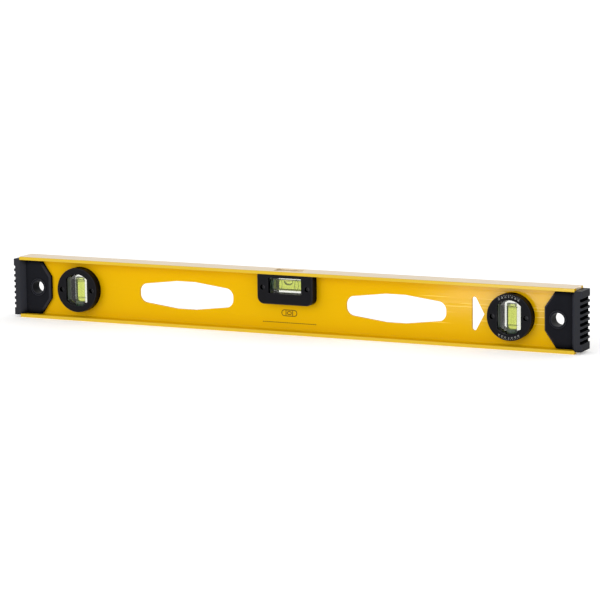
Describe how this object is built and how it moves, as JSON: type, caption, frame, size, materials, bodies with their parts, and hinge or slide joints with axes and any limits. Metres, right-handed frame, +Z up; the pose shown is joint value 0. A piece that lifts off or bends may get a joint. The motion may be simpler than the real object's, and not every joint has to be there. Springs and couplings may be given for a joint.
{
  "type": "spirit level",
  "caption": "I-beam spirit level with a centre block vial, a plumb vial, a turning angle dial, hand holes, a pointer cut-out and toothed end caps with hanging holes.",
  "frame": {"origin": "centre of the lower working face, which is the bottom centre of the level's box", "axes": "+X along the beam towards the dial vial, -Y towards the front, where the screws and dial numbers are, +Z up to the upper working face"},
  "size_m": [0.6096, 0.024, 0.062],
  "materials": {
    "beam_paint": "satin",
    "cap_plastic": "matte",
    "housing_plastic": "satin",
    "clear_acrylic": "polished",
    "spirit_fill": "polished",
    "bubble_air": "polished",
    "gauge_mark": "matte",
    "screw_steel": "satin"
  },
  "bodies": {
    "level": {"beam": "beam_paint", "end_cap_left": "cap_plastic", "end_cap_right": "cap_plastic", "center_housing_front": "housing_plastic", "center_housing_rear": "housing_plastic", "center_vial_block": "clear_acrylic", "center_spirit": "spirit_fill", "center_gauge_rings": "gauge_mark", "center_vial_plug": "clear_acrylic", "center_screws": "screw_steel", "plumb_housing_front": "housing_plastic", "plumb_housing_rear": "housing_plastic", "plumb_vial_block": "clear_acrylic", "plumb_spirit": "spirit_fill", "plumb_gauge_rings": "gauge_mark", "plumb_vial_plug": "clear_acrylic", "plumb_screws": "screw_steel"},
    "dial": {"dial_housing_front": "housing_plastic", "dial_housing_rear": "housing_plastic", "dial_vial_block": "clear_acrylic", "dial_spirit": "spirit_fill", "dial_gauge_rings": "gauge_mark", "dial_vial_plug": "clear_acrylic", "dial_screws": "screw_steel"},
    "center_bubble": {"center_bubble": "bubble_air"},
    "plumb_bubble": {"plumb_bubble": "bubble_air"},
    "dial_bubble": {"dial_bubble": "bubble_air"}
  },
  "joints": [
    {"name": "dial_turn", "type": "hinge", "parent": "level", "child": "dial", "pos_m": [0.2322, 0, 0.031], "axis": [0, 1, 0], "continuous": true},
    {"name": "center_bubble_slide", "type": "slide", "parent": "level", "child": "center_bubble", "axis": [1, 0, 0], "range_m": [-0.0095, 0.0095], "stiffness_N_per_m": 0.4, "deforming": ["center_spirit"]},
    {"name": "plumb_bubble_slide", "type": "slide", "parent": "level", "child": "plumb_bubble", "axis": [0, 0, 1], "range_m": [-0.021, 0], "stiffness_N_per_m": 0.4, "springref_m": 0.06, "deforming": ["plumb_spirit"]},
    {"name": "dial_bubble_slide", "type": "slide", "parent": "dial", "child": "dial_bubble", "axis": [0, 0, 1], "range_m": [-0.021, 0], "stiffness_N_per_m": 0.4, "springref_m": 0.06, "deforming": ["dial_spirit"]}
  ]
}
